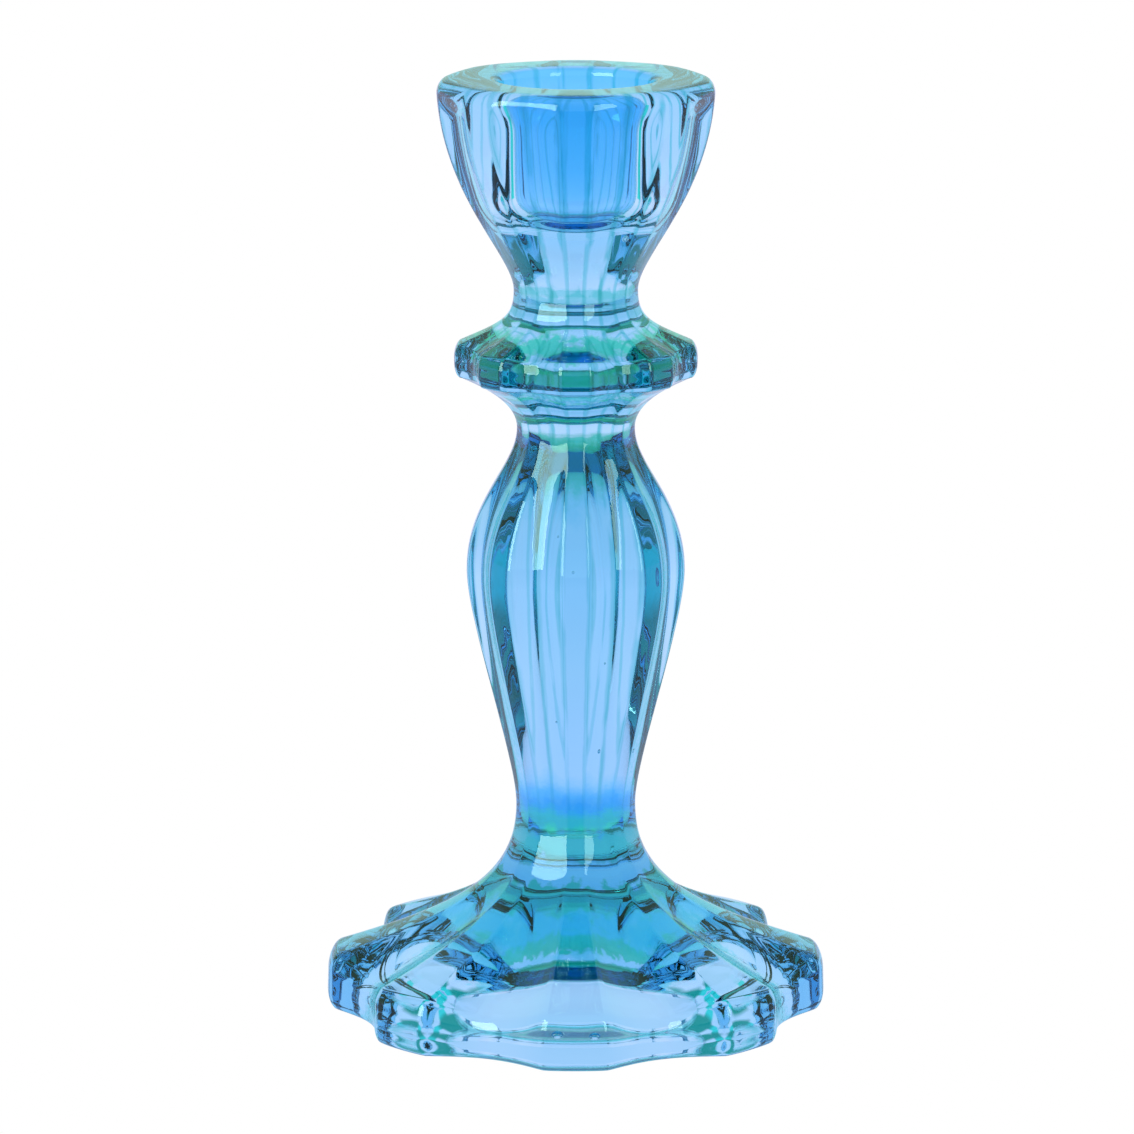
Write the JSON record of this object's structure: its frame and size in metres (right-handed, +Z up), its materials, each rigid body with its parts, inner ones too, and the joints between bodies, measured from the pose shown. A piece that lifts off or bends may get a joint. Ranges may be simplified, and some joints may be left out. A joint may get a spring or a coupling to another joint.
{
  "type": "candlestick",
  "caption": "Fluted pressed-glass candlestick: scalloped trumpet foot, baluster stem, lobed drip collar and tulip cup with a round well for a dinner candle.",
  "frame": {"origin": "on the vertical axis, at the surface the foot rests on", "axes": "+Z up along the axis; +X and +Y each point through the middle of a foot lobe"},
  "size_m": [0.0856, 0.0856, 0.1605],
  "materials": {
    "blue_glass": "fire-polished sky-blue glass with teal edges"
  },
  "bodies": {
    "root": {"scalloped_foot": "blue_glass", "baluster_stem": "blue_glass", "drip_collar": "blue_glass", "socket_cup": "blue_glass"}
  },
  "joints": []
}
